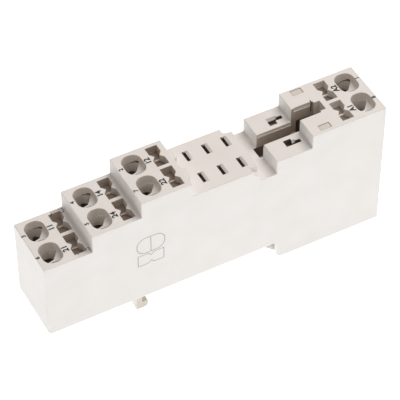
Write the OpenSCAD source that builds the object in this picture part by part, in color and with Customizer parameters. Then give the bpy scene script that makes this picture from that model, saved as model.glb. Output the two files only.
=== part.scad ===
// Rail socket for a slim plug-in relay, with eight spring clamp terminals.
// Lengths are in millimetres. X runs along the socket, Y across it, Z up.

/* [Body] */
// Width across the socket
body_w = 16; // [15:0.1:20]
// Thickness of the outer walls
wall = 1.1; // [0.9:0.05:1.6]
// Thickness of the rib between the two rows of terminals
mid_rib = 0.9; // [0.6:0.05:1.4]
// Height of the side walls' lower edge
skirt_z = 5.3; // [4.8:0.1:7]
// Length of the lowest terminal step
first_step = 12; // [11.5:0.05:14]
// Distance from one contact terminal to the next
step_pitch = 12.35; // [12:0.05:15]
// Length of the highest contact step
last_step = 12.95; // [12.5:0.05:16]
// Length of the relay seat
seat_len = 17.6; // [17:0.1:22]
// Length of the trough beside the seat
trough_len = 4.1; // [3:0.1:8]
// Length of the coil pin block
coil_seat_len = 9.3; // [8:0.1:14]
// Length of the coil terminal block
coil_step = 19.7; // [19:0.1:26]

/* [Levels] */
// Top of the lowest step
step1_top = 27.2; // [26.8:0.1:30]
// Rise from the first step to the second
rise1 = 4.8; // [3:0.1:6]
// Rise from the second step to the third
rise2 = 4.5; // [3:0.1:6]
// Top of the relay seat
seat_top = 32.6; // [31:0.1:35]
// Depth of the trough below the seat
trough_depth = 3.5; // [2:0.1:5]
// Rise from the seat to the coil pin block
coil_seat_rise = 0.4; // [0:0.1:2]
// Rise from the third step to the coil terminal block
coil_rise = 0.3; // [0:0.1:4]

/* [Terminals] */
// First wire entry's centre from the contact end
first_entry = 3.7; // [3.7:0.05:5]
// Coil wire entry's centre from the coil end
coil_entry = 3.85; // [3.85:0.05:5]
// Length of a wire entry along the socket
entry_l = 4.85; // [4.4:0.05:4.9]
// Width of a wire entry across the socket
entry_w = 6.25; // [5.5:0.05:6.4]
// Corner radius of a wire entry
entry_r = 2.1; // [0.5:0.05:2.15]
// Depth of a wire entry's cup
entry_depth = 2.9; // [1.5:0.05:4]
// Web between the two wire holes of an entry
hole_web = 0.36; // [0.2:0.02:0.8]
// Distance from a wire entry to its driver slot
key_off = 5.9; // [5.6:0.05:6]
// Length of a driver slot along the socket
key_l = 3; // [2.4:0.05:3.3]
// Width of a driver slot across the socket
key_w = 6.4; // [5.5:0.05:6.4]
// Depth of the notches in a driver slot's sides
key_notch = 0.85; // [0.3:0.05:1]
// Width of those notches at the edge
key_notch_w = 2.1; // [1:0.05:3]
// Web between the two pockets of a driver slot
key_web = 0.4; // [0.2:0.02:0.8]
// Depth of that web below the top
key_web_drop = 1.45; // [0.5:0.05:3]
// Thickness of the moulding above the clamp chambers
plate_t = 6; // [4.5:0.1:6.4]

/* [Relay slots] */
// First contact blade from the seat's edge
pin_first = 4.6; // [4:0.05:5.5]
// Distance between contact blades
pin_pitch = 5; // [4.6:0.05:5.2]
// Distance between the two rows of blades
pin_row = 7.5; // [7:0.05:8]
// Coil blade from the last contact blade
coil_pin_off = 13.4; // [13:0.05:14]
// Distance between the two coil blade slots
coil_pin_row = 8.7; // [8.2:0.05:9.2]
// Length of a contact blade slot
blade_l = 3.2; // [2.6:0.05:3.4]
// Width of a contact blade slot
blade_w = 1; // [0.7:0.05:1.2]
// Width of the lead-in beside a slot
lead_in = 0.55; // [0.2:0.05:0.8]
// Length of a coil blade slot
coil_blade_l = 3.9; // [3:0.05:4.2]
// Thickness of the seat over the blade clips
seat_plate = 1.6; // [1.2:0.1:2.4]

/* [Clip slot] */
// Width of the middle slot in the coil pin block
slot_w = 3.2; // [2:0.1:3.6]
// Width of the slot's mouth in the coil terminal block
slot_mouth_w = 4; // [2.5:0.1:4.4]
// Length of that mouth
slot_mouth_l = 5.7; // [3:0.1:6]
// Full length of the slot in the coil terminal block
slot_l = 7.1; // [6.2:0.1:7.2]
// Depth of the slot below the coil pin block
slot_depth = 7; // [4:0.1:10]
// Width of the two guide ribs at the seat
guide_w = 3.2; // [2:0.1:4]
// Reach of the guide ribs over the seat
guide_reach = 1.15; // [0.5:0.05:2]
// Distance between the guide ribs' centres
guide_row = 6.4; // [5:0.1:9]

/* [Rail side] */
// Width of the rail
rail_w = 35; // [34.8:0.1:35.2]
// Rail hook's throat from the contact end
throat_x = 24.45; // [22:0.05:28]
// Play of the rail between its stops
rail_play = 0.3; // [0.1:0.05:0.6]
// Height of the rail face above the feet
rail_z = 4; // [3.6:0.1:4.6]
// Height of the slot that takes the rail's lip
lip_gap = 1.85; // [1.6:0.05:2.4]
// Reach of the fixed hook under the rail
hook_reach = 1.45; // [0.8:0.05:2]
// Thickness of the fixed hook's stem
stem_t = 1.5; // [1:0.1:3]
// Thickness of the bottom cover
cover_t = 1.7; // [1.2:0.1:2.2]
// Relief beside the rail face, over the hook and the nose
rail_relief = 0.2; // [0.1:0.05:0.5]
// Reach of the latch nose under the rail
nose_reach = 1.5; // [1:0.05:1.9]
// Room for the rail's thickness above the nose
nose_gap = 1.1; // [1:0.05:1.5]
// Height of the nose's tip
nose_tip = 0.3; // [0.2:0.05:0.8]
// Length of the latch's head behind the nose
head_l = 2; // [1.5:0.1:3]
// Drop of that head below the latch
head_drop = 0.45; // [0.2:0.05:0.7]
// Travel of the latch
latch_travel = 2.2; // [2:0.1:2.4]
// Thickness of the latch
latch_t = 4.1; // [3:0.1:4.1]
// Room left behind the latch when it is pulled back
latch_room = 0.25; // [0.15:0.05:0.5]
// Distance from the latch's face to its spring window
window_off = 5.5; // [5:0.1:6]
// Width of the spring window
window_w = 6; // [5.6:0.1:8]
// Length of the latch spring at rest
latch_spring_l = 8.5; // [8:0.1:9]
// Straight part of each of its turns
turn_w = 3; // [2.5:0.1:3.6]
// Height of its strip
turn_h = 2; // [1:0.1:2.6]
// Length of the post that the spring leans on
post_l = 2; // [1.5:0.1:2.6]
// Length of the latch's driver slot
tool_l = 1.4; // [1:0.1:1.8]
// Width of that slot
tool_w = 4.4; // [3.5:0.1:6]

/* [Metal] */
// Thickness of the contact strips
metal_t = 0.6; // [0.4:0.05:0.7]
// Height of a contact strip
strip_h = 2.4; // [1.6:0.1:2.6]
// Gap between strips one above the other
strip_gap = 1; // [0.6:0.1:1.2]
// Thickness of the clamp springs
spring_t = 0.4; // [0.25:0.05:0.5]
// Width of a clamp spring
spring_w = 2.7; // [2:0.1:2.8]
// Height of a clamp spring's straight leg
leg_h = 8; // [6:0.1:8.2]
// Outer radius of a clamp spring's bend
bend_r = 1.5; // [1.2:0.05:1.6]
// Fit between pieces that lie side by side
fit = 0.1; // [0.05:0.01:0.2]

/* [Hidden] */
$fn = 48;
eps = 0.05;

// stations along X, from the contact end
riser1_x = first_step;
riser2_x = riser1_x + step_pitch;
seat_x = riser2_x + last_step;
trough_x = seat_x + seat_len;
coil_seat_x = trough_x + trough_len;
coil_x = coil_seat_x + coil_seat_len;
body_len = coil_x + coil_step;
block_x = throat_x + rail_w + rail_play;
// levels
step2_top = step1_top + rise1;
step3_top = step2_top + rise2;
coil_seat_top = seat_top + coil_seat_rise;
coil_top = step3_top + coil_rise;
trough_z = seat_top - trough_depth;
slot_z = coil_seat_top - slot_depth;
floor_z = skirt_z + cover_t;
rest_z = floor_z + 1;
cav_top = rest_z + 3 * strip_h + 2 * strip_gap + metal_t + 0.4;
// across the socket
in_w = body_w / 2 - wall;
row_y = (mid_rib / 2 + in_w) / 2;
cav_w = in_w - mid_rib / 2;
pin_y = pin_row / 2;
coil_pin_y = coil_pin_row / 2;
coil_pin_x = seat_x + pin_first + 2 * pin_pitch + coil_pin_off;
// clamp chamber, measured from its wire entry
cham_near = entry_l / 2 + 0.2;
cham_far = key_off + key_l / 2 + fit;
clip_w = blade_l;
clip_r = 1.2;
clip_z = cav_top + 3.3;
turns = 6;
shaft_top = seat_top - seat_plate;
coil_shaft_top = coil_seat_top - seat_plate;
side_step = 2.2;
side_step_y = 6.1;
arm_l = 2.7;
arm_w = 1.5;
arm_x = coil_x + 3.95;
arm_y = in_w - 0.45;
nose_x = block_x - rail_play - nose_reach;
face_x0 = throat_x + hook_reach + rail_relief;
face_x1 = nose_x - rail_relief;
latch_x = block_x + 0.3;
latch_l = body_len - wall - latch_travel - latch_room - latch_x;
latch_w = in_w - 0.7;
latch_z = skirt_z - fit - latch_t;
pad_w = in_w - fit;
guide_x = latch_x + latch_travel + 2.4;
post_x = latch_x + window_off + latch_spring_l + 2 * fit;

module xz(w, y = 0) translate([0, y, 0]) rotate([90, 0, 0]) linear_extrude(w, center = true) children();
module yz(l, x = 0) translate([x, 0, 0]) rotate([90, 0, 90]) linear_extrude(l, center = true) children();
module place() translate([-body_len / 2, 0, 0]) children();
module row(s) mirror([0, s < 0 ? 1 : 0, 0]) children();
module box(x0, x1, y0, y1, z0, z1) translate([x0, y0, z0]) cube([x1 - x0, y1 - y0, z1 - z0]);

function entry_x(i) = first_entry + i * step_pitch;
function entry_top(i) = i == 0 ? step1_top : i == 1 ? step2_top : step3_top;
function strip_z(i) = rest_z + i * (strip_h + strip_gap);
function blade_x(i) = seat_x + pin_first + (i == 0 ? 1 : i == 1 ? 0 : 2) * pin_pitch;

// rounded rectangle about the origin
module pill(l, w, r) {
  square([l - 2 * r, w], center = true);
  square([l, w - 2 * r], center = true);
  for (x = [-1, 1], y = [-1, 1]) translate([x * (l / 2 - r), y * (w / 2 - r)]) circle(r);
}

// what is left of a square corner outside its rounding
module corner(r) difference() {
  translate([-eps, -eps]) square(r + eps);
  translate([r, r]) circle(r);
}

// wire entry: a cup, and two holes set corner to corner below it
module entry(top, bottom) {
  translate([0, 0, top - entry_depth]) linear_extrude(entry_depth + 1) pill(entry_l, entry_w, entry_r);
  translate([0, 0, bottom]) linear_extrude(top - entry_depth - bottom + eps) for (a = [0, 180]) rotate(a)
    intersection() {
      pill(entry_l - 0.3, entry_w - 0.3, entry_r - 0.15);
      polygon([[-entry_l / 2, hole_web / 2], [0.3, hole_web / 2], [entry_l / 2, entry_w / 2], [-entry_l / 2, entry_w / 2]]);
    }
}

module key_outline() {
  h = key_l / 2;
  v = key_w / 2;
  n = key_notch_w / 2;
  polygon([[-h, v], [-h, n], [key_notch - h, 0], [-h, -n], [-h, -v], [h, -v], [h, -n], [h - key_notch, 0], [h, n], [h, v]]);
}

// driver slot: a waisted mouth over two pockets
module key_slot(top, bottom) {
  translate([0, 0, top - key_web_drop]) linear_extrude(key_web_drop + 1) key_outline();
  translate([0, 0, bottom]) linear_extrude(top - bottom) difference() {
    key_outline();
    square([key_l + 1, key_web], center = true);
  }
}

module terminal_cut(x, side, top) for (s = [-1, 1]) {
  bottom = top - plate_t - eps;
  translate([x, s * row_y, 0]) entry(top, bottom);
  translate([x + side * key_off, s * row_y, 0]) key_slot(top, bottom);
  x0 = side > 0 ? x - cham_near : x - cham_far;
  row(s) box(x0, x0 + cham_near + cham_far, mid_rib / 2, in_w, cav_top - eps, top - plate_t);
}

module blade_cut(x) for (s = [-1, 1]) translate([x, s * pin_y, 0]) {
  box(-blade_w / 2, blade_w / 2, -blade_l / 2, blade_l / 2, shaft_top - eps, seat_top + 1);
  xz(blade_l) polygon([[0, seat_top + eps], [blade_w / 2 + lead_in, seat_top + eps], [blade_w / 2, seat_top - 1], [0, seat_top - 1]]);
  box(-clip_r - 0.2, clip_r + 0.2, -clip_w / 2 - 0.2, clip_w / 2 + 0.2, cav_top - eps, shaft_top);
}

module coil_blade_cut() for (s = [-1, 1]) row(s) translate([coil_pin_x, coil_pin_y, 0]) {
  h = coil_blade_l / 2;
  box(-h, h, -blade_w / 2, blade_w / 2, coil_shaft_top - eps, coil_seat_top + 1);
  box(-h, 0, -blade_w / 2 - 1, 0, coil_shaft_top - eps, coil_seat_top + 1);
  box(-h - 0.2, h + 0.2, -clip_r - 0.2, clip_r + 0.2, cav_top - eps, coil_shaft_top);
}

module clip_slot() {
  box(coil_seat_x - 0.9, coil_x + slot_mouth_l - eps, -slot_w / 2, slot_w / 2, slot_z, coil_top + 1);
  box(coil_x - 0.05, coil_x + slot_mouth_l, -slot_mouth_w / 2, slot_mouth_w / 2, slot_z + 3, coil_top + 1);
  box(coil_x + slot_mouth_l - 1, coil_x + slot_l, -slot_w / 2 + 0.1, slot_w / 2 - 0.1, slot_z + 1, coil_top + 1);
}

module outline_xz() difference() {
  polygon([[0, skirt_z], [block_x, skirt_z], [block_x, 0], [body_len, 0], [body_len, coil_top],
    [coil_x, coil_top], [coil_x, coil_seat_top], [coil_seat_x, coil_seat_top], [coil_seat_x, trough_z],
    [trough_x, trough_z], [trough_x, seat_top], [seat_x, seat_top], [seat_x, step3_top],
    [riser2_x, step3_top], [riser2_x, step2_top], [riser1_x, step2_top], [riser1_x, step1_top], [0, step1_top]]);
  translate([0, skirt_z]) corner(1);
  translate([block_x, 0]) corner(1.6);
}

module housing() color([0.88, 0.87, 0.85]) place() difference() {
  union() {
    xz(body_w) outline_xz();
    for (s = [-1, 1]) translate([seat_x + guide_reach / 2 - 1, s * guide_row / 2, seat_top - 1])
      linear_extrude(step3_top - seat_top + 0.8) pill(guide_reach + 2, guide_w, 0.9);
  }
  for (s = [-1, 1]) row(s) xz(body_w / 2 - side_step_y + eps, (body_w / 2 + side_step_y + eps) / 2)
    polygon([[trough_x - side_step, seat_top + 1], [trough_x - side_step, seat_top - 0.9],
      [trough_x + 1.7, trough_z], [coil_seat_x, trough_z], [coil_seat_x, seat_top + 1]]);
  for (i = [0:2]) {
    terminal_cut(entry_x(i), 1, entry_top(i));
    blade_cut(blade_x(i));
  }
  terminal_cut(body_len - coil_entry, -1, coil_top);
  coil_blade_cut();
  clip_slot();
  // space for the strips, closed below by the bottom cover
  for (s = [-1, 1]) row(s) {
    box(wall, trough_x - 1, mid_rib / 2, in_w, floor_z - eps, cav_top);
    box(coil_pin_x - 2.5, body_len - wall, mid_rib / 2, in_w, floor_z - eps, cav_top);
    box(arm_x - arm_l / 2 - fit, arm_x + arm_l / 2 + fit, arm_y - arm_w / 2 - fit, arm_y + arm_w / 2 + fit, floor_z - eps, coil_top + 1);
  }
  box(wall, body_len - wall, -in_w, in_w, skirt_z - eps, floor_z);
  box(block_x - 1, body_len - wall, -in_w, in_w, -1, skirt_z);
  box(body_len - wall - 1, body_len + 1, -3, 3, -1, latch_z + latch_t / 2);
  for (s = [-1, 1]) row(s) box(block_x - 0.3, block_x, in_w - eps, body_w / 2 + 1, skirt_z - 1, skirt_z + 0.6);
}

module bottom_cover() color([0.86, 0.84, 0.8]) place() {
  box(wall + fit, body_len - wall - fit, -pad_w, pad_w, skirt_z, floor_z);
  // rail face and fixed hook
  xz(2 * pad_w) polygon([[throat_x - stem_t, skirt_z + eps], [throat_x - stem_t, 0.2], [throat_x + hook_reach - 0.5, 0.2],
    [throat_x + hook_reach, 0.8], [throat_x + hook_reach, rail_z - lip_gap], [throat_x, rail_z - lip_gap],
    [throat_x, rail_z + rail_relief], [face_x0, rail_z + rail_relief], [face_x0, rail_z], [face_x1, rail_z],
    [face_x1, rail_z + rail_relief], [block_x - 0.4, rail_z + rail_relief], [block_x - 0.4, skirt_z + eps]]);
  // guide rails under the latch, and the stop behind its spring
  for (s = [-1, 1]) row(s) {
    box(guide_x, body_len - wall - fit, latch_w + fit, pad_w, 0.2, skirt_z + eps);
    box(guide_x, body_len - wall - fit, latch_w - 0.7, pad_w, 0.2, latch_z - fit);
    box(arm_x - arm_l / 2, arm_x + arm_l / 2, arm_y - arm_w / 2, arm_y + arm_w / 2, floor_z - eps, coil_top);
  }
  box(post_x, post_x + post_l, fit * 2 - window_w / 2, window_w / 2 - fit * 2, latch_z + 2 * fit, skirt_z + eps);
}

module rail_latch() color([0.9, 0.89, 0.86]) place() difference() {
  union() {
    xz(2 * latch_w) polygon([[nose_x, rail_z - nose_gap], [nose_x, rail_z - nose_gap - nose_tip],
      [latch_x + 0.25, latch_z - head_drop], [latch_x + head_l, latch_z - head_drop], [latch_x + head_l, latch_z + latch_t],
      [latch_x, latch_z + latch_t], [latch_x, rail_z - nose_gap]]);
    box(latch_x + head_l - eps, latch_x + latch_l, -latch_w, latch_w, latch_z, latch_z + latch_t);
  }
  box(latch_x + window_off, post_x + post_l + fit, -window_w / 2, window_w / 2, -1, skirt_z + 1);
  box(latch_x + latch_l - wall - 2 * tool_l, latch_x + latch_l - wall - tool_l, -tool_w / 2, tool_w / 2, -1, skirt_z + 1);
}

module latch_spring() color([0.75, 0.76, 0.78]) place() {
  gap = (latch_spring_l - spring_t) / turns;
  r = (gap + spring_t) / 2;
  translate([latch_x + window_off + fit + spring_t / 2, 0, latch_z + (latch_t - turn_h) / 2]) linear_extrude(turn_h) {
    for (i = [0:turns]) translate([i * gap, 0]) square([spring_t, turn_w], center = true);
    for (i = [0:turns - 1]) translate([(i + 0.5) * gap, 0]) mirror([0, i % 2, 0]) translate([0, turn_w / 2])
      intersection() {
        difference() {
          circle(r);
          circle(r - spring_t);
        }
        translate([-r, 0]) square([2 * r, r]);
      }
  }
}

// blade clip: two leaves that meet on the blade, in a plane across the leaves
module clip_outline(z0, z1) {
  translate([-clip_r, z0]) square([2 * clip_r, metal_t]);
  for (m = [0, 1]) mirror([m, 0]) polygon([[clip_r, z0], [clip_r, z0 + 3], [0.62, z1 - 1.6], [clip_r, z1],
    [clip_r - 0.42, z1 + 0.05], [0.22, z1 - 1.6], [clip_r - 0.4, z0 + 2.9], [clip_r - 0.4, z0]]);
}

// the part of a contact that lies in its clamp chamber
module clamp_frame(x, side, z, z0) translate([x, 0, 0]) mirror([side < 0 ? 1 : 0, 0, 0]) {
  y0 = mid_rib / 2 + fit;
  y1 = in_w - fit;
  box(fit - cham_near, metal_t + fit - cham_near, y0, y1, z0, z + leg_h);
  box(fit - cham_near, cham_far - fit, y0, y1, z - metal_t, z);
}

module contact(i, s) color([0.78, 0.66, 0.38]) place() row(s) {
  z = strip_z(i);
  y = i == 2 ? pin_y - clip_w / 2 + metal_t / 2 + 0.1 : pin_y + clip_w / 2 - metal_t / 2 - 0.1;
  xb = blade_x(i);
  clamp_frame(entry_x(i), 1, z + strip_h + metal_t, z);
  box(entry_x(i) - cham_near + fit, xb + clip_r, y - metal_t / 2, y + metal_t / 2, z, z + strip_h + eps);
  box(xb - clip_r, xb + clip_r, y - metal_t / 2, y + metal_t / 2, z, clip_z + metal_t);
  translate([xb, 0, 0]) xz(clip_w, pin_y) clip_outline(clip_z, shaft_top - 0.2);
}

module coil_contact(s) color([0.78, 0.66, 0.38]) place() row(s) {
  z = strip_z(2);
  x = body_len - coil_entry;
  clamp_frame(x, -1, z + strip_h + metal_t, z);
  box(coil_pin_x - 1.8, x + cham_near - fit, coil_pin_y - metal_t / 2, coil_pin_y + metal_t / 2, z, z + strip_h + eps);
  box(coil_pin_x - 1.8, coil_pin_x + 1.8, coil_pin_y - metal_t / 2, coil_pin_y + metal_t / 2, z, clip_z + metal_t);
  yz(coil_blade_l - 0.3, coil_pin_x) translate([coil_pin_y, 0]) clip_outline(clip_z, coil_shaft_top - 0.2);
}

// clamp spring: a hairpin whose long leg leans on the contact
module clamp(x, side, z, s, k) color([0.8, 0.81, 0.83]) place()
  translate([x, s * row_y + k * cav_w / 4, 0]) mirror([side < 0 ? 1 : 0, 0, 0]) xz(spring_w) {
    right = cham_far - fit;
    cx = right - bend_r;
    zt = z + leg_h;
    lean = 37;
    mid = bend_r - spring_t / 2;
    reach = cx - mid * sin(lean) - (metal_t + 2 * fit - cham_near);
    translate([right - spring_t, z]) square([spring_t, leg_h + eps]);
    translate([cx, zt]) intersection() {
      difference() {
        circle(bend_r);
        circle(bend_r - spring_t);
      }
      union() {
        translate([0, 0]) square(2);
        polygon([[0, 0], [0, 3], [-3 * sin(lean), 3 * cos(lean)]]);
      }
    }
    translate([cx - mid * sin(lean), zt + mid * cos(lean)]) rotate(lean)
      translate([-reach / cos(lean) + 0.2, -spring_t / 2]) square([reach / cos(lean) - 0.15, spring_t]);
  }

module clamp_at(i, s, k) clamp(entry_x(i), 1, strip_z(i) + strip_h + metal_t, s, k);
module coil_clamp(s, k) clamp(body_len - coil_entry, -1, strip_z(2) + strip_h + metal_t, s, k);

housing();
bottom_cover();
rail_latch();
latch_spring();
contact(0, 1);  // contact_11
contact(1, 1);  // contact_14
contact(2, 1);  // contact_12
contact(0, -1);  // contact_21
contact(1, -1);  // contact_24
contact(2, -1);  // contact_22
coil_contact(-1);  // coil_contact_a1
coil_contact(1);  // coil_contact_a2
clamp_at(0, 1, 1);  // clamp_11_rear
clamp_at(0, 1, -1);  // clamp_11_front
clamp_at(1, 1, 1);  // clamp_14_rear
clamp_at(1, 1, -1);  // clamp_14_front
clamp_at(2, 1, 1);  // clamp_12_rear
clamp_at(2, 1, -1);  // clamp_12_front
clamp_at(0, -1, 1);  // clamp_21_rear
clamp_at(0, -1, -1);  // clamp_21_front
clamp_at(1, -1, 1);  // clamp_24_rear
clamp_at(1, -1, -1);  // clamp_24_front
clamp_at(2, -1, 1);  // clamp_22_rear
clamp_at(2, -1, -1);  // clamp_22_front
coil_clamp(-1, 1);  // clamp_a1_rear
coil_clamp(-1, -1);  // clamp_a1_front
coil_clamp(1, 1);  // clamp_a2_rear
coil_clamp(1, -1);  // clamp_a2_front
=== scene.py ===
# Rail socket for a slim plug-in relay. Lengths in the dictionaries are millimetres.
# Stations along the socket are counted from its contact end, heights from the plane of its feet.
import math

import bmesh
import bpy
from mathutils import Matrix, Vector


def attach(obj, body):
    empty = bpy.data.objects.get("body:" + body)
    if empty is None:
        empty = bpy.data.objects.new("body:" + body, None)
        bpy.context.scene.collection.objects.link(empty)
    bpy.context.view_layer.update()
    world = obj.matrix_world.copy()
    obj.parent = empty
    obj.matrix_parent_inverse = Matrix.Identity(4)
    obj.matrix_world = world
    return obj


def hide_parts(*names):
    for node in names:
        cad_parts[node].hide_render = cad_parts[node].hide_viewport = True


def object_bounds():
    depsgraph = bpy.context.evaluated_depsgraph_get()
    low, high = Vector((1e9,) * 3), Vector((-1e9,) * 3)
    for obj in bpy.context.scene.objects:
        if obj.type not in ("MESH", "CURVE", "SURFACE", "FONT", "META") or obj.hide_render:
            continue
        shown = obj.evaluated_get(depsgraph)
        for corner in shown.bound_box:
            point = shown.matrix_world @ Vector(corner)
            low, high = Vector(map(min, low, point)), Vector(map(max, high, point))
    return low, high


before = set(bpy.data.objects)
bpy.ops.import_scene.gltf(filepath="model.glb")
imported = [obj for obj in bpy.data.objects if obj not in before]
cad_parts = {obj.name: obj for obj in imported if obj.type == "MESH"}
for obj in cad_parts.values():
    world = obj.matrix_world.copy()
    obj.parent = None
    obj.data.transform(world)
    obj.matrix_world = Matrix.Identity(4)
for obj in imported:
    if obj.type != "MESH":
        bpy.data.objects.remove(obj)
cadLow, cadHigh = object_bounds()
millimetre = 0.001
print("stage 1: frame loaded,", len(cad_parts), "solids")


def fromHex(code):
    # sRGB hex to linear colour
    parts = [int(code[i:i + 2], 16) / 255 for i in (1, 3, 5)]
    return tuple(p / 12.92 if p <= 0.04045 else ((p + 0.055) / 1.055) ** 2.4 for p in parts) + (1,)


def addNode(tree, kind, settings=None, links=None):
    # links: input name or number -> output socket
    node = tree.nodes.new(kind)
    for key, value in (settings or {}).items():
        if hasattr(node, key) and key not in node.inputs:
            setattr(node, key, value)
        else:
            node.inputs[key].default_value = value
    for key, value in (links or {}).items():
        tree.links.new(value, node.inputs[key])
    return node


def newMaterial(name, shader):
    material = bpy.data.materials.new(name)
    material.use_nodes = True
    tree = material.node_tree
    tree.nodes.clear()
    principled = addNode(tree, "ShaderNodeBsdfPrincipled", shader)
    addNode(tree, "ShaderNodeOutputMaterial", None, {"Surface": principled.outputs[0]})
    place = addNode(tree, "ShaderNodeTexCoord")
    return material, tree, principled, place.outputs["Object"]


def perMetre(size):
    # noise scale for a feature of that size in millimetres
    return 1 / (size * millimetre)


mouldedPbt = {
    "housing": {"light": "#f2f1f0", "dark": "#eeedeb"},
    "cover": {"light": "#e3dfd7", "dark": "#dad5cc"},
    "latch": {"light": "#e8e5df", "dark": "#e0dcd5"},
    # the pocket tone below is painted light: a warm lighter tone for walls inside cups, holes and some cuts,
    # standing in for the light that reaches them
    "paintedLightPocket": {"light": "#f2eee9", "dark": "#ece7e1"},
    # the slot tone below is painted shade: darker walls inside the driver and clip slots
    "slot": {"light": "#d2c6bb", "dark": "#c8bbaf"},
    # the deep tone below is painted shade: dark walls in the deep rooms, seams, slits and lower pockets
    "paintedShadeDeep": {"light": "#8a7f76", "dark": "#776c63"},
    "grain": 0.09,       # spark-eroded mould grain
    "grainDepth": 0.010,
    "grainStrength": 0.25,
    "mottle": 7.0,       # slow change of shade in the moulding
    "spread": (0.3, 0.7),
    "index": 1.5,
    "roughness": 0.46,
    "polish": 0.04,      # how far the roughness falls and rises with the grain
    "dull": 0.06,
}


def plastic(name, tones):
    # moulded PBT, fine spark-eroded grain: soft broad highlights, no mirror image
    v = mouldedPbt
    material, tree, shader, place = newMaterial(name, {"Roughness": v["roughness"], "IOR": v["index"]})
    slow = addNode(tree, "ShaderNodeTexNoise", {"Scale": perMetre(v["mottle"]), "Detail": 3.0},
                   {"Vector": place})
    ramp = addNode(tree, "ShaderNodeValToRGB", None, {"Fac": slow.outputs["Fac"]})
    for stop, position, tone in zip(ramp.color_ramp.elements, v["spread"], ("dark", "light")):
        stop.position, stop.color = position, fromHex(tones[tone])
    tree.links.new(ramp.outputs["Color"], shader.inputs["Base Color"])
    fine = addNode(tree, "ShaderNodeTexNoise", {"Scale": perMetre(v["grain"]), "Detail": 2.0},
                   {"Vector": place})
    bump = addNode(tree, "ShaderNodeBump",
                   {"Strength": v["grainStrength"], "Distance": v["grainDepth"] * millimetre},
                   {"Height": fine.outputs["Fac"]})
    tree.links.new(bump.outputs["Normal"], shader.inputs["Normal"])
    gloss = addNode(tree, "ShaderNodeMapRange",
                    {"To Min": v["roughness"] - v["polish"], "To Max": v["roughness"] + v["dull"]},
                    {"Value": fine.outputs["Fac"]})
    tree.links.new(gloss.outputs["Result"], shader.inputs["Roughness"])
    return material


metals = {
    "tinnedBronze": {"light": "#cfc8ba", "dark": "#b4ab9b", "roughness": 0.34},
    "springSteel": {"light": "#c6c8cb", "dark": "#a9acb1", "roughness": 0.26},
    "rolling": 0.35,     # width of the rolling marks
    "stretch": (0.08, 1.0, 1.0),
}


def sheetMetal(name, tones):
    # rolled strip: faint marks along the strip, soft grey sheen
    material, tree, shader, place = newMaterial(name, {"Metallic": 1.0, "Roughness": tones["roughness"]})
    stretch = addNode(tree, "ShaderNodeMapping", {"Scale": metals["stretch"]}, {"Vector": place})
    marks = addNode(tree, "ShaderNodeTexNoise", {"Scale": perMetre(metals["rolling"]), "Detail": 3.0},
                    {"Vector": stretch.outputs["Vector"]})
    ramp = addNode(tree, "ShaderNodeValToRGB", None, {"Fac": marks.outputs["Fac"]})
    ramp.color_ramp.elements[0].color = fromHex(tones["dark"])
    ramp.color_ramp.elements[1].color = fromHex(tones["light"])
    tree.links.new(ramp.outputs["Color"], shader.inputs["Base Color"])
    return material


inks = {"black": "#2c2a2b", "grey": "#a3a3a4", "roughness": 0.6, "range": (0.5, 0.7), "speck": 0.12}


def ink(name, tone):
    # pad-printed ink: thin, matt
    v = inks
    material, tree, shader, place = newMaterial(name, {"Roughness": v["roughness"],
                                                       "Base Color": fromHex(tone)})
    speck = addNode(tree, "ShaderNodeTexNoise", {"Scale": perMetre(v["speck"]), "Detail": 2.0},
                    {"Vector": place})
    rough = addNode(tree, "ShaderNodeMapRange", {"To Min": v["range"][0], "To Max": v["range"][1]},
                    {"Value": speck.outputs["Fac"]})
    tree.links.new(rough.outputs["Result"], shader.inputs["Roughness"])
    return material


housingPlastic = plastic("mouldedPbtHousing", mouldedPbt["housing"])
# the pocket tone is painted light; the deep and slot tones are painted shade on walls inside the housing's
# cuts
pocketPaintedLight = plastic("mouldedPbtPocketPaintedLight", mouldedPbt["paintedLightPocket"])
deepPaintedShade = plastic("mouldedPbtDeepPaintedShade", mouldedPbt["paintedShadeDeep"])
slotPlastic = plastic("mouldedPbtSlotPaintedShade", mouldedPbt["slot"])
coverPlastic = plastic("mouldedPbtCover", mouldedPbt["cover"])
latchPlastic = plastic("mouldedPbtLatch", mouldedPbt["latch"])
contactMetal = sheetMetal("tinnedBronzeStrip", metals["tinnedBronze"])
springMetal = sheetMetal("springSteelStrip", metals["springSteel"])
# housing material slots: plain plastic, then the pocket tone as painted light, the deep and slot tones as
# painted shade
housingPlasticAndPaintedTones = [housingPlastic, pocketPaintedLight, deepPaintedShade, slotPlastic]
blackInk = ink("blackPadPrint", inks["black"])
greyInk = ink("greyPadPrint", inks["grey"])
print("stage 2: materials made")


def prism(points, low, high, axis="z"):
    # a closed outline in the plane across an axis, extruded along it
    bm = bmesh.new()
    turn = {"x": lambda a, b, h: (h, a, b), "y": lambda a, b, h: (a, h, b),
            "z": lambda a, b, h: (a, b, h)}[axis]
    face = bm.faces.new([bm.verts.new(turn(a, b, low)) for a, b in points])
    lift = bmesh.ops.extrude_face_region(bm, geom=[face])["geom"]
    moved = [g for g in lift if isinstance(g, bmesh.types.BMVert)]
    bmesh.ops.translate(bm, verts=moved, vec=Vector(turn(0, 0, 1)) * (high - low))
    bmesh.ops.recalc_face_normals(bm, faces=bm.faces)
    return bm


def block(x0, x1, y0, y1, z0, z1):
    bm = bmesh.new()
    size = Matrix.Diagonal((x1 - x0, y1 - y0, z1 - z0, 1))
    centre = Matrix.Translation(((x0 + x1) / 2, (y0 + y1) / 2, (z0 + z1) / 2))
    bmesh.ops.create_cube(bm, size=1, matrix=centre @ size)
    return bm


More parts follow.
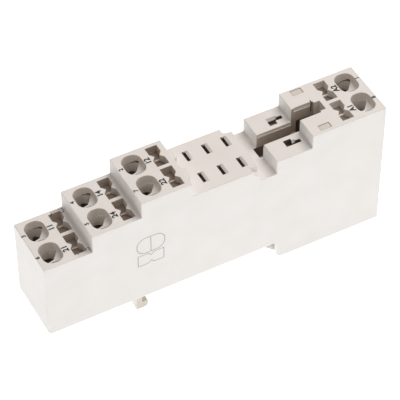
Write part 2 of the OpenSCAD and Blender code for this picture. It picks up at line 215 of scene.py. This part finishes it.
def loft(rings):
    # closed solid through rings of equal length, each a list of points in space, lowest ring first
    bm = bmesh.new()
    loops = [[bm.verts.new(p) for p in ring] for ring in rings]
    for low, high in zip(loops, loops[1:]):
        for i, vert in enumerate(low):
            j = (i + 1) % len(low)
            bm.faces.new((vert, low[j], high[j], high[i]))
    bm.faces.new(list(reversed(loops[0])))
    bm.faces.new(loops[-1])
    bmesh.ops.recalc_face_normals(bm, faces=bm.faces)
    return bm


def addTo(target, part):
    # joins one bmesh into another and frees it
    mesh = bpy.data.meshes.new("join")
    part.to_mesh(mesh)
    part.free()
    target.from_mesh(mesh)
    bpy.data.meshes.remove(mesh)


def gather(parts):
    whole = bmesh.new()
    for part in parts:
        addTo(whole, part)
    return whole


def paint(bm, index):
    for face in bm.faces:
        face.material_index = index
    return bm


def shade(bm):
    # a slot's walls: the darker slot tone as painted shade, apart from the wall at its far end, which gets
    # the lighter pocket tone as painted light
    for face in bm.faces:
        face.material_index = 1 if face.normal.x > 0.7 else 3
    return bm


def arc(cx, cy, radius, start, end, steps):
    angles = [math.radians(start + (end - start) * i / steps) for i in range(steps + 1)]
    return [(cx + radius * math.cos(a), cy + radius * math.sin(a)) for a in angles]


def pill(cx, cy, length, width, radius, steps=8):
    # rounded rectangle
    x, y = length / 2 - radius, width / 2 - radius
    return (arc(cx + x, cy + y, radius, 0, 90, steps) + arc(cx - x, cy + y, radius, 90, 180, steps)
            + arc(cx - x, cy - y, radius, 180, 270, steps) + arc(cx + x, cy - y, radius, 270, 360, steps))


def toObject(bm, name, materials):
    mesh = bpy.data.meshes.new(name)
    bm.to_mesh(mesh)
    bm.free()
    for material in materials:
        mesh.materials.append(material)
    piece = bpy.data.objects.new(name, mesh)
    bpy.context.scene.collection.objects.link(piece)
    return piece


def boolean(bm, other, operation="DIFFERENCE"):
    # one boolean between two closed bmeshes; face materials keep their numbers
    body, tool = toObject(bm, "body", housingPlasticAndPaintedTones), toObject(other, "tool", housingPlasticAndPaintedTones)
    modifier = body.modifiers.new("cut", "BOOLEAN")
    modifier.operation = operation
    modifier.solver = "MANIFOLD"
    modifier.object = tool
    result = bmesh.new()
    result.from_object(body, bpy.context.evaluated_depsgraph_get())
    for used in (body, tool):
        mesh = used.data
        bpy.data.objects.remove(used)
        bpy.data.meshes.remove(mesh)
    bmesh.ops.remove_doubles(result, verts=result.verts, dist=1e-5)
    return result


def sharpEdges(bm, angle):
    return [e for e in bm.edges if len(e.link_faces) == 2 and e.calc_face_angle(0) > math.radians(angle)]


def roundEdges(bm, edges, width, segments=2):
    bmesh.ops.bevel(bm, geom=edges, offset=width, segments=segments, profile=0.5, affect="EDGES",
                    material=-1, clamp_overlap=True)
    return bm


def finishPiece(bm, name, body, materials, smooth=35):
    # into metres and the shared frame; rides on its body
    bmesh.ops.scale(bm, vec=(millimetre,) * 3, verts=bm.verts)
    bmesh.ops.translate(bm, vec=(cadLow.x, 0, 0), verts=bm.verts)
    piece = toObject(bm, name, materials)
    piece.data.shade_smooth()
    piece.data.set_sharp_from_angle(angle=math.radians(smooth))
    weighted = piece.modifiers.new("evenNormals", "WEIGHTED_NORMAL")
    weighted.keep_sharp = True
    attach(piece, body)
    return piece


socket = {
    "width": 16, "wall": 1.1, "rib": 0.9, "skirt": 5.3, "coverTop": 7.0, "cavityTop": 18.2,
    "steps": [12.0, 24.35, 37.3], "seatEnd": 54.9, "troughEnd": 59.0, "coilStep": 68.3, "end": 88.0,
    "tops": [27.2, 32.0, 36.5], "seat": 32.6, "trough": 29.1, "coilSeat": 33.0, "coilTop": 36.8,
    "blockStart": 59.75, "corner": 1.0, "footCorner": 1.6, "edge": 0.22, "rim": 0.12,
    "lap": 0.05, "fineLap": 0.02,     # how far cuts overlap each other
    "over": 1,                        # how far a cut stands out over a face
}
guideRibs = {
    "rows": (3.0, -3.55), "back": 0.4, "length": 3.1, "width": 3.4, "radius": 0.9,
    "drop": 0.25, "edge": 0.3,
}
terminals = {
    "contactEntries": [3.7, 16.05, 28.4], "coilEntry": 84.15,
    "entryLength": 4.85, "entryWidth": 6.25, "entryRadius": 2.1, "lipDepth": 1.2,
    "cupNear": 2.0, "cupSlope": 0.34, "cupDraft": 0.06, "undercut": 0.12, "flush": -0.03,
    "seam": 0.2, "seamReach": 0.3, "spot": 0.44, "holeEnd": 5.3,
    "slotOffset": 5.9, "coilSlotOffset": 5.8, "slotLength": 3.0, "slotWidth": 6.4,
    "notch": 0.85, "notchWidth": 2.1, "slotWeb": 0.4, "slotWebDrop": 1.45, "ledge": 1.9,
    "ledgeInset": 0.12, "plate": 6.0, "roomNear": 0.2, "roomFar": 0.1,
}
relaySlots = {
    "contacts": [41.9, 46.9, 51.9], "rows": 3.75, "length": 3.2, "width": 1.0,
    "leadIn": 0.6, "leadDepth": 0.45, "plate": 1.6, "clip": 1.4, "clipGap": 0.2,
    "coil": 65.3, "coilRows": 4.35, "coilLength": 3.9, "coilTab": 1.5,
    "coilLead": 0.55, "coilLeadDepth": 0.7, "coilLeadEnd": 0.75,
}
clipSlot = {
    "start": 58.1, "width": 3.2, "floor": 26.0, "lipWidth": 3.5, "lipDepth": 0.9, "deepTop": 29.0,
    "mouth": 4.0, "mouthEnd": 74.0, "mouthFloor": 29.0, "mouthWeb": 0.2,
    "band": (69.0, 73.4), "bandDepth": 1.2, "bandSet": 0.18,
    "groove": (73.45, 73.75), "grooveSet": 0.6, "grooveDepth": 3.2,
    "end": 75.5, "endWidth": 3.0, "endLap": 0.3, "endDrop": 1.0,
    # undercut windows: (start, end, side reach, height over the floor, top)
    "windows": ((69.7, 73.3, 1.0, 0.5, 32.6), (74.0, 75.1, 0.6, 0.8, 32.9)),
}
undersides = {
    "blockInset": 1.0, "arm": (70.9, 73.6), "armRows": (5.7, 7.2), "armGap": (0.05, 0.15),
    "notch": 3.0, "notchTop": 3.15, "slit": 0.3, "slitTop": 5.9, "coilRoom": 2.5, "seatRoom": 1.0,
    "sideStep": 2.2, "sideStepRow": 6.1, "sideStepDepth": 0.9, "sideStepFoot": 1.7, "sidePast": 0.2,
    "endArm": (8.9, 11.85), "endArmRows": (6.15, 7.35), "slitWidth": 0.14, "slitDepth": 0.9,
}
inner = socket["width"] / 2 - socket["wall"]
rowY = (socket["rib"] / 2 + inner) / 2


def bodyOutline():
    s = socket
    corner = arc(s["corner"], s["skirt"] + s["corner"], s["corner"], 180, 270, 6)
    foot = arc(s["blockStart"] + s["footCorner"], s["footCorner"], s["footCorner"], 180, 270, 8)
    return (corner + [(s["blockStart"], s["skirt"])] + foot + [(s["end"], 0), (s["end"], s["coilTop"]),
            (s["coilStep"], s["coilTop"]), (s["coilStep"], s["coilSeat"]), (s["troughEnd"], s["coilSeat"]),
            (s["troughEnd"], s["trough"]), (s["seatEnd"], s["trough"]), (s["seatEnd"], s["seat"]),
            (s["steps"][2], s["seat"]), (s["steps"][2], s["tops"][2]), (s["steps"][1], s["tops"][2]),
            (s["steps"][1], s["tops"][1]), (s["steps"][0], s["tops"][1]), (s["steps"][0], s["tops"][0]),
            (0, s["tops"][0])])


def terminalSpots():
    # (entry station, side of its driver slot, slot offset, top) for both rows
    s, t = socket, terminals
    spots = [(x, 1, t["slotOffset"], top) for x, top in zip(t["contactEntries"], s["tops"])]
    spots.append((t["coilEntry"], -1, t["coilSlotOffset"], s["coilTop"]))
    return [(x, side, off, top, row * rowY) for x, side, off, top in spots for row in (1, -1)]


def cupFloor(x):
    # depth of a cup's slanted floor, x from the centre of the cup
    t = terminals
    return t["cupNear"] + t["cupSlope"] * (t["entryLength"] / 2 - x)


def wireCup(cx, cy, top):
    # funnel mouth: straight lip, then a drafted wall down to the slanted floor
    t = terminals
    half = t["entryLength"] / 2
    outline = pill(0, 0, t["entryLength"], t["entryWidth"], t["entryRadius"])
    drafted = [(x - t["cupDraft"] * max(0, x) / half, y) for x, y in outline]
    # the cup's walls take the pocket tone as painted light; its floor keeps the housing's tone
    cup = paint(loft([[(cx + x, cy + y, top - cupFloor(x)) for x, y in drafted],
                      [(cx + x, cy + y, top - t["lipDepth"]) for x, y in outline],
                      [(cx + x, cy + y, top + socket["over"]) for x, y in outline]]), 1)
    for face in cup.faces:
        if face.normal.z < -0.9:
            face.material_index = 0
    return cup


def slanted(outline, cx, cy, top, low, high):
    # a cutter that follows a cup's floor, from low to high over it
    return loft([[(cx + x, cy + y, top - cupFloor(x) + lift) for x, y in outline] for lift in (low, high)])


def cupSeam(cx, cy, top):
    # the fine undercut where a cup's back wall meets its wire hole, wider in the corner, painted in the deep
    # tone as painted shade
    t = terminals
    v = t["entryWidth"] / 2
    if cy < 0:
        return []
    far = v + t["seamReach"]
    runs = [([(1.3, v - 0.9), (2.2, v - 1.35), (2.2, v - 0.9), (1.75, v - 0.35)], t["spot"]),
            ([(-2.2, v - 0.9), (1.7, v - 0.75), (1.75, v - 0.3), (1.0, v + 0.05), (0.4, far),
              (-1.2, far), (-2.3, v - 0.4)], t["seam"])]
    return [paint(slanted(outline, cx, cy, top, -socket["lap"], high), 2) for outline, high in runs]


def wireHoles(cx, cy, top):
    # the two wire holes of a cup, each cut off along a slanted edge
    t = terminals
    u, v, r = t["entryLength"] / 2 - 0.05, t["entryWidth"] / 2, t["entryRadius"] - 0.1
    cut = t["undercut"] if cy > 0 else t["flush"]
    back = ([(-u, 0.0), (0.6, -0.05), (2.05, 1.5), (1.95, 2.2)] + arc(u - r - 0.3, v + cut - r, r, 35, 90, 5)
            + arc(r - u, v + cut - r, r, 90, 180, 8))
    front = (arc(r - u, r - v, r, 180, 270, 8) + arc(u - r - 0.25, r - v, r, 270, 350, 7)
             + [(1.9, -1.15), (0.0, -0.45), (-u, -0.3)])
    low = top - t["plate"] - socket["lap"]
    holes = []
    for outline in (back, front):
        holes.append(loft([[(cx + x, cy + y, low) for x, y in outline],
                           [(cx + x, cy + y, top - cupFloor(x) + socket["fineLap"]) for x, y in outline]]))
    return holes


def slotOutline(cx, cy):
    # a driver slot: a rectangle with a notch in each long side
    t = terminals
    h, v, n = t["slotLength"] / 2, t["slotWidth"] / 2, t["notchWidth"] / 2
    tip = t["notch"] - h
    points = [(-h, v), (-h, n), (tip, 0), (-h, -n), (-h, -v),
              (h, -v), (h, -n), (-tip, 0), (h, n), (h, v)]
    return [(cx + x, cy + y) for x, y in points]


def halfSlot(cx, cy, back, inset):
    # one pocket of a driver slot, on one side of its web
    t = terminals
    h, v = t["slotLength"] / 2 - inset, t["slotWidth"] / 2 - inset
    n, w = t["notchWidth"] / 2, t["slotWeb"] / 2
    tip = t["notch"] - t["slotLength"] / 2 + inset
    slope = (h + tip) / n
    points = [(-h, v), (-h, n), (tip - slope * w, w), (slope * w - tip, w), (h, n), (h, v)]
    sign = 1 if back else -1
    return [(cx + sign * x, cy + sign * y) for x, y in points]


def guideRib(y):
    # one of the two ribs that stand over the seat
    s, v = socket, guideRibs
    outline = pill(s["steps"][2] - v["back"], y, v["length"], v["width"], v["radius"])
    rib = prism(outline, s["seat"] - s["over"], s["tops"][2] - v["drop"])
    upper = [e for e in sharpEdges(rib, 60) if min(end.co.z for end in e.verts) > s["seat"]]
    return roundEdges(rib, upper, v["edge"], 3)


def terminalTools(x, side, off, top, y):
    # everything cut for one terminal: (mouths, shafts, seams, clamp room)
    s, t = socket, terminals
    slotX, lap = x + side * off, s["lap"]
    # driver slot walls: on contacts the slot tone as painted shade with a lighter far wall, on the coil the
    # pocket tone as painted light
    wall = shade if side > 0 else lambda bm: paint(bm, 1)
    mouths = [wireCup(x, y, top), wall(prism(slotOutline(slotX, y), top - t["slotWebDrop"], top + s["over"]))]
    # wire holes take the pocket tone as painted light
    shafts = [paint(hole, 1) for hole in wireHoles(x, y, top)]
    for back in (False, True):
        # upper pockets take the wall tones above; lower pockets below the ledge take the deep tone as painted
        # shade
        upper, lower = halfSlot(slotX, y, back, 0.0), halfSlot(slotX, y, back, t["ledgeInset"])
        shafts.append(wall(prism(upper, top - t["ledge"], top - t["slotWebDrop"] + s["fineLap"])))
        shafts.append(paint(prism(lower, top - t["plate"] - lap, top - t["ledge"] + s["fineLap"] / 2), 2))
    # the clamp room takes the deep tone as painted shade
    near = t["entryLength"] / 2 + t["roomNear"]
    far = off + t["slotLength"] / 2 + t["roomFar"]
    low, high = (x - near, x + far) if side > 0 else (x - far, x + near)
    room = rowBlock(low, high, s["rib"] / 2, inner, s["cavityTop"] - lap, top - t["holeEnd"],
                    math.copysign(1, y))
    return mouths, shafts, cupSeam(x, y, top), [paint(room, 2)]


def buildHousing():
    s = socket
    bm = prism(bodyOutline(), -s["width"] / 2, s["width"] / 2, "y")
    roundEdges(bm, sharpEdges(bm, 30), s["edge"], 3)
    for y in guideRibs["rows"]:
        bm = boolean(bm, guideRib(y), "UNION")
    layers = [[], [], [], []]
    for spot in terminalSpots():
        for layer, tools in zip(layers, terminalTools(*spot)):
            layer += tools
    layers[0] += seatMouths()
    layers[1] += seatShafts()
    for layer in layers:
        bm = boolean(bm, gather(layer))
    for tool in clipSlotTools() + lowerTools():
        bm = boolean(bm, tool)
    return roundEdges(bm, rimEdges(bm), s["rim"], 2)


def rowBlock(x0, x1, y0, y1, z0, z1, row):
    # a block in the rear row (1), or mirrored into the front row (-1)
    low, high = sorted((row * y0, row * y1))
    return block(x0, x1, low, high, z0, z1)


def seatMouths():
    # lead-in beside each blade slot
    s, v = socket, relaySlots
    seat, coilSeat, half, lap = s["seat"], s["coilSeat"], v["width"] / 2, s["lap"]
    parts = []
    for x in v["contacts"]:
        ramp = [(x, seat + lap), (x + half + v["leadIn"], seat + lap),
                (x + half, seat - v["leadDepth"]), (x, seat - v["leadDepth"])]
        for y in (v["rows"], -v["rows"]):
            parts.append(prism(ramp, y - v["length"] / 2, y + v["length"] / 2, "y"))
    for y in (v["coilRows"], -v["coilRows"]):
        ramp = [(y, coilSeat + lap), (y + half + v["coilLead"], coilSeat + lap),
                (y + half, coilSeat - v["coilLeadDepth"]), (y, coilSeat - v["coilLeadDepth"])]
        parts.append(prism(ramp, v["coil"] - v["coilLength"] / 2, v["coil"] + v["coilLeadEnd"], "x"))
    return parts


def seatShafts():
    # blade slots, and the room for the blade clips below them, all in the deep tone as painted shade
    s, v = socket, relaySlots
    half, gap, lap, over = v["width"] / 2, v["clipGap"], s["lap"], s["over"]
    y0, y1 = v["rows"] - v["length"] / 2, v["rows"] + v["length"] / 2
    coil, h, y = v["coil"], v["coilLength"] / 2, v["coilRows"]
    plate, coilPlate = s["seat"] - v["plate"], s["coilSeat"] - v["plate"]
    tab = [(coil - h, y - v["coilTab"]), (coil, y - v["coilTab"]), (coil, y - half),
           (coil + h, y - half), (coil + h, y + half), (coil - h, y + half)]
    parts = []
    for row in (1, -1):
        for x in v["contacts"]:
            parts.append(rowBlock(x - half, x + half, y0, y1, plate - lap, s["seat"] + over, row))
            parts.append(rowBlock(x - v["clip"], x + v["clip"], y0 - gap, y1 + gap,
                                  s["cavityTop"] - lap, plate, row))
        parts.append(prism([(px, row * py) for px, py in tab], coilPlate - lap, s["coilSeat"] + over))
        parts.append(rowBlock(coil - h - gap, coil + h + gap, y - v["clip"], y + v["clip"],
                              s["cavityTop"] - lap, coilPlate - lap + s["fineLap"], row))
    return [paint(part, 2) for part in parts]


def clipSlotTools():
    # the slot for the relay's clip, from the trough to behind the highest step
    s, v = socket, clipSlot
    w, m, lip, e = v["width"] / 2, v["mouth"] / 2, v["lipWidth"] / 2, v["endWidth"] / 2
    top, lap = s["coilTop"] + s["over"], s["fineLap"]
    runEnd = v["mouthEnd"] - v["mouthWeb"]
    grooveFloor = s["coilTop"] - v["grooveDepth"]
    # first number of each cut is its wall tone: 1 the pocket tone as painted light, 2 the deep tone and 3 the
    # slot tone as painted shade
    cuts = [
        (3, v["start"], runEnd, -w, w, v["floor"], top),
        (2, v["start"] - lap, runEnd - s["lap"], -w - lap, w + lap, v["floor"] - lap, v["deepTop"]),
        (1, s["troughEnd"], s["coilStep"], -lip, lip, s["coilSeat"] - v["lipDepth"], top),
        (3, s["coilStep"] - s["lap"], v["mouthEnd"], -m, m, v["mouthFloor"], top),
        (1, *v["band"], -m, m + v["bandSet"], s["coilTop"] - v["bandDepth"], top),
        (2, *v["groove"], 0, m + v["grooveSet"], grooveFloor, top),
        (1, v["mouthEnd"] - v["endLap"], v["end"], -e, e, v["mouthFloor"] - v["endDrop"], top),
    ]
    for x0, x1, side, lift, high in v["windows"]:
        cuts.append((2, x0, x1, -m - side, m + side, v["floor"] + lift, high))
    return [paint(block(*sizes), index) for index, *sizes in cuts]


def lowerTools():
    # side steps by the trough, rooms for the strips, cover recess, latch room, snap windows, slits
    s, v = socket, undersides
    half, outer, lap, over = s["rib"] / 2, s["width"] / 2, s["lap"], s["over"]
    wallEnd, stepX, seatOver = s["end"] - s["wall"], s["seatEnd"] - v["sideStep"], s["seat"] + over
    step = [(stepX, seatOver), (stepX, s["seat"] - v["sideStepDepth"]),
            (s["seatEnd"] + v["sideStepFoot"], s["trough"]), (s["troughEnd"], s["trough"]),
            (s["troughEnd"], seatOver)]
    (near, far), (armStart, armEnd) = v["armGap"], v["arm"]
    roomLow, level = s["coverTop"] - lap, s["tops"][0]
    tools = []
    for row in (1, -1):
        ends = sorted((row * v["sideStepRow"], row * (outer + v["sidePast"])))
        ys = sorted(row * y for y in v["armRows"])
        # the rooms, the snap-arm gap and the slits take the deep tone as painted shade
        dark = [
            rowBlock(s["wall"], s["seatEnd"] - v["seatRoom"], half, inner, roomLow, s["cavityTop"], row),
            rowBlock(relaySlots["coil"] - v["coilRoom"], wallEnd, half, inner, roomLow,
                     s["cavityTop"], row),
            block(armStart - near, armEnd + far, ys[0] - near, ys[1] + far, roomLow - lap,
                  s["coilTop"] + over),
        ]
        for run in snapSlits(row):
            dark.append(rowBlock(*run, level - v["slitDepth"], level + over, row))
        # the slit by the block takes the pocket tone as painted light
        slit = rowBlock(s["blockStart"] - v["slit"], s["blockStart"], inner - lap, outer + over,
                        s["skirt"] - over, v["slitTop"], row)
        tools += [prism(step, *ends, "y"), *(paint(room, 2) for room in dark), paint(slit, 1)]
    # the cover recess and the room under the block take the pocket tone as painted light
    tools.append(paint(block(s["wall"], wallEnd, -inner, inner, s["skirt"] - lap, s["coverTop"]), 1))
    tools.append(paint(block(s["blockStart"] - v["blockInset"], wallEnd, -inner, inner,
                             -over, s["skirt"]), 1))
    tools.append(block(wallEnd - over, s["end"] + over, -v["notch"], v["notch"], -over, v["notchTop"]))
    return tools


def snapSlits(row):
    # the gap round the snap arm by the lowest level: four thin runs, three in the front row
    v = undersides
    (x0, x1), (y0, y1), w = v["endArm"], v["endArmRows"], v["slitWidth"]
    runs = [(x0, x1, y0, y0 + w), (x0, x0 + w, y0 + w / 2, y1 - w / 2),
            (x1 - w, x1, y0 + w / 2, y1 - w / 2)]
    return runs + [(x0, x1, y1 - w, y1)] if row > 0 else runs


def rimEdges(bm):
    # edges where an upper face meets a wall that goes down from it
    levels = socket["tops"] + [socket["seat"], socket["coilSeat"], socket["coilTop"]]
    rims = []
    for edge in bm.edges:
        flat = all(min(abs(end.co.z - z) for z in levels) <= 1e-3 for end in edge.verts)
        if len(edge.link_faces) != 2 or not flat:
            continue
        heights = sorted(abs(f.normal.z) for f in edge.link_faces)
        if heights[0] < 0.5 and heights[1] > 0.999 and edge.calc_face_angle_signed(0) > 0.5:
            rims.append(edge)
    return rims


housing = finishPiece(buildHousing(), "housingMoulding", "socket", housingPlasticAndPaintedTones)
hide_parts("housing")
print("stage 3: housing,", len(housing.data.polygons), "faces")


dressing = {"merge": 0.002, "flat": 4.0, "sharp": 25.0, "plasticEdge": 0.12, "metalEdge": 0.05}


def dressNode(name, node, body, material, edge):
    # the solid's own form, with its moulded or stamped edges broken
    v = dressing
    bm = bmesh.new()
    bm.from_mesh(node.data)
    bm.transform(node.matrix_world)
    bmesh.ops.scale(bm, vec=(1 / millimetre,) * 3, verts=bm.verts)
    bmesh.ops.remove_doubles(bm, verts=bm.verts, dist=v["merge"])
    bmesh.ops.dissolve_limit(bm, angle_limit=math.radians(v["flat"]), verts=bm.verts, edges=bm.edges)
    roundEdges(bm, sharpEdges(bm, v["sharp"]), edge, 2)
    bmesh.ops.translate(bm, vec=(-cadLow.x / millimetre, 0, 0), verts=bm.verts)
    piece = finishPiece(bm, name, body, [material])
    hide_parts(node.name.split(":")[-1])
    return piece


for name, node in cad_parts.items():
    if name == "housing":
        continue
    if name == "bottom_cover":
        dressNode("coverMoulding", node, "socket", coverPlastic, dressing["plasticEdge"])
    elif name == "rail_latch":
        dressNode("latchMoulding", node, "latch", latchPlastic, dressing["plasticEdge"])
    else:
        isContact = "contact" in name
        material, slotName = (contactMetal, "contact") if isContact else (springMetal, "spring")
        dressNode(name + "_strip", node, "socket", material, dressing["metalEdge"])
print("stage 4: cover, latch and strips dressed")


prints = {
    "lift": 0.012, "size": 1.9, "smallSize": 1.4, "weight": 0.042,
    "numberShift": (3.38, -0.45), "smallShift": (-3.2, -0.1),
    "coilShift": (-3.35, -0.45), "coilSmall": (3.0, 0.2),
    "oval": (22.9, 30.0, 20.1, 25.0), "ovalRadius": 2.25,
    "notched": (23.1, 29.7, 16.3, 19.6), "vee": 0.75, "line": 0.17,
    # row: (numbers and pins of the contacts, number and pin of the coil)
    "marks": {1: (("11", "14", "12"), ("3", "4", "2"), "A2", "1"),
              -1: (("21", "24", "22"), ("6", "5", "7"), "A1", "8")},
}


def textMesh(words, size, place):
    # flat glyphs that read towards the back of the socket, centred on a place
    v = prints
    curve = bpy.data.curves.new("glyphs", "FONT")
    curve.body, curve.size, curve.resolution_u, curve.offset = words, size, 6, v["weight"] * size
    curve.align_x, curve.align_y = "CENTER", "CENTER"
    holder = bpy.data.objects.new("glyphs", curve)
    bpy.context.scene.collection.objects.link(holder)
    bpy.context.view_layer.update()
    bm = bmesh.new()
    bm.from_mesh(holder.to_mesh())
    holder.to_mesh_clear()
    bpy.data.objects.remove(holder)
    bpy.data.curves.remove(curve)
    bm.transform(Matrix.Translation(place) @ Matrix.Rotation(math.radians(90), 4, "Z"))
    return bm


def lineWork(points, closed=True):
    # a thin printed line along a path in the plane of the front face, as (station, height)
    v = prints
    front = -socket["width"] / 2 - v["lift"]
    count = len(points)
    bm = bmesh.new()
    sides = []
    for i, (x, z) in enumerate(points):
        before = Vector(points[i - 1] if closed or i else points[i])
        after = Vector(points[(i + 1) % count] if closed or i + 1 < count else points[i])
        here = Vector((x, z))
        ways = [w.normalized() for w in (here - before, after - here) if w.length > 0]
        along = sum(ways, Vector((0, 0))).normalized()
        reach = v["line"] / 2 / max(0.5, along.dot(ways[0]))
        across = Vector((-along.y, along.x)) * reach
        sides.append([bm.verts.new((p.x, front, p.y)) for p in (here - across, here + across)])
    for i in range(count if closed else count - 1):
        low, high = sides[i], sides[(i + 1) % count]
        bm.faces.new((low[0], high[0], high[1], low[1]))
    return bm


def buildNumbers():
    # terminal and pin numbers beside the wire entries
    v, t, s = prints, terminals, socket
    marks = []

    def pair(x, y, top, labels, sizes, shifts):
        for words, size, (dx, dy) in zip(labels, sizes, shifts):
            marks.append(textMesh(words, size, (x + dx, y + dy, top + v["lift"])))

    sizes = (v["size"], v["smallSize"])
    for row, (numbers, pins, coil, coilPin) in v["marks"].items():
        for x, top, number, pin in zip(t["contactEntries"], s["tops"], numbers, pins):
            pair(x, row * rowY, top, (number, pin), sizes, (v["numberShift"], v["smallShift"]))
        pair(t["coilEntry"], row * rowY, s["coilTop"], (coil, coilPin), sizes,
             (v["coilShift"], v["coilSmall"]))
    return gather(marks)


def buildPictograms():
    # outlines of a wire entry and of a driver slot, printed on the front face
    v = prints
    x0, x1, z0, z1 = v["oval"]
    centre, middle = (x0 + x1) / 2, (z0 + z1) / 2
    signs = [lineWork(pill(centre, middle, x1 - x0, z1 - z0, v["ovalRadius"], 10)),
             lineWork([(centre, z0), (centre, z1)], closed=False)]
    x0, x1, z0, z1 = v["notched"]
    d = v["vee"]
    signs.append(lineWork([(x0, z0), (centre - d, z0), (centre, z0 + d), (centre + d, z0), (x1, z0),
                           (x1, z1), (centre + d, z1), (centre, z1 - d), (centre - d, z1), (x0, z1)]))
    return gather(signs)


finishPiece(buildNumbers(), "terminalNumbers", "socket", [blackInk])
finishPiece(buildPictograms(), "entryPictograms", "socket", [greyInk])
print("stage 5: prints")


studio = {
    "camera": (-160.43, -296.03, 376.48), "aim": (0.32643, 0.60476, -0.72644), "lens": 190.6,
    "clip": (0.01, 20), "floorSize": 3.0, "floorTone": "#bdbdbd", "floorGlow": 1.10,
    "skyTone": "#fff5ee", "skyGlow": 0.32,
    "keyPlace": (0.35, 0.1, 0.9), "keyAim": (0, 0, 0.02), "keySize": 0.7, "keyPower": 5.8,
    "keyTone": "#fff8f2",
}


def buildStudio():
    v = studio
    camera = bpy.data.objects.new("camera", bpy.data.cameras.new("camera"))
    camera.data.lens = v["lens"]
    camera.data.clip_start, camera.data.clip_end = v["clip"]
    camera.location = Vector(v["camera"]) * millimetre
    camera.rotation_mode = "QUATERNION"
    camera.rotation_quaternion = Vector(v["aim"]).to_track_quat("-Z", "Y")
    bpy.context.scene.collection.objects.link(camera)
    bpy.context.scene.camera = camera

    bm = bmesh.new()
    bmesh.ops.create_grid(bm, x_segments=8, y_segments=8, size=v["floorSize"])
    paper = newMaterial("paleFloor", {
        "Roughness": 0.9, "Base Color": fromHex(v["floorTone"]),
        "Emission Color": (1, 1, 1, 1), "Emission Strength": v["floorGlow"],
    })[0]
    toObject(bm, "paleFloor", [paper])

    world = bpy.data.worlds.new("softStudio")
    world.use_nodes = True
    background = world.node_tree.nodes["Background"]
    background.inputs["Color"].default_value = fromHex(v["skyTone"])
    background.inputs["Strength"].default_value = v["skyGlow"]
    bpy.context.scene.world = world

    lamp = bpy.data.lights.new("keyBox", "AREA")
    lamp.size, lamp.energy, lamp.color = v["keySize"], v["keyPower"], fromHex(v["keyTone"])[:3]
    light = bpy.data.objects.new("keyBox", lamp)
    light.location = v["keyPlace"]
    light.rotation_mode = "QUATERNION"
    light.rotation_quaternion = (Vector(v["keyAim"]) - light.location).to_track_quat("-Z", "Y")
    bpy.context.scene.collection.objects.link(light)


buildStudio()
view = bpy.context.scene.view_settings
view.view_transform = "Standard"
view.look = "None"
print("stage 6: studio")
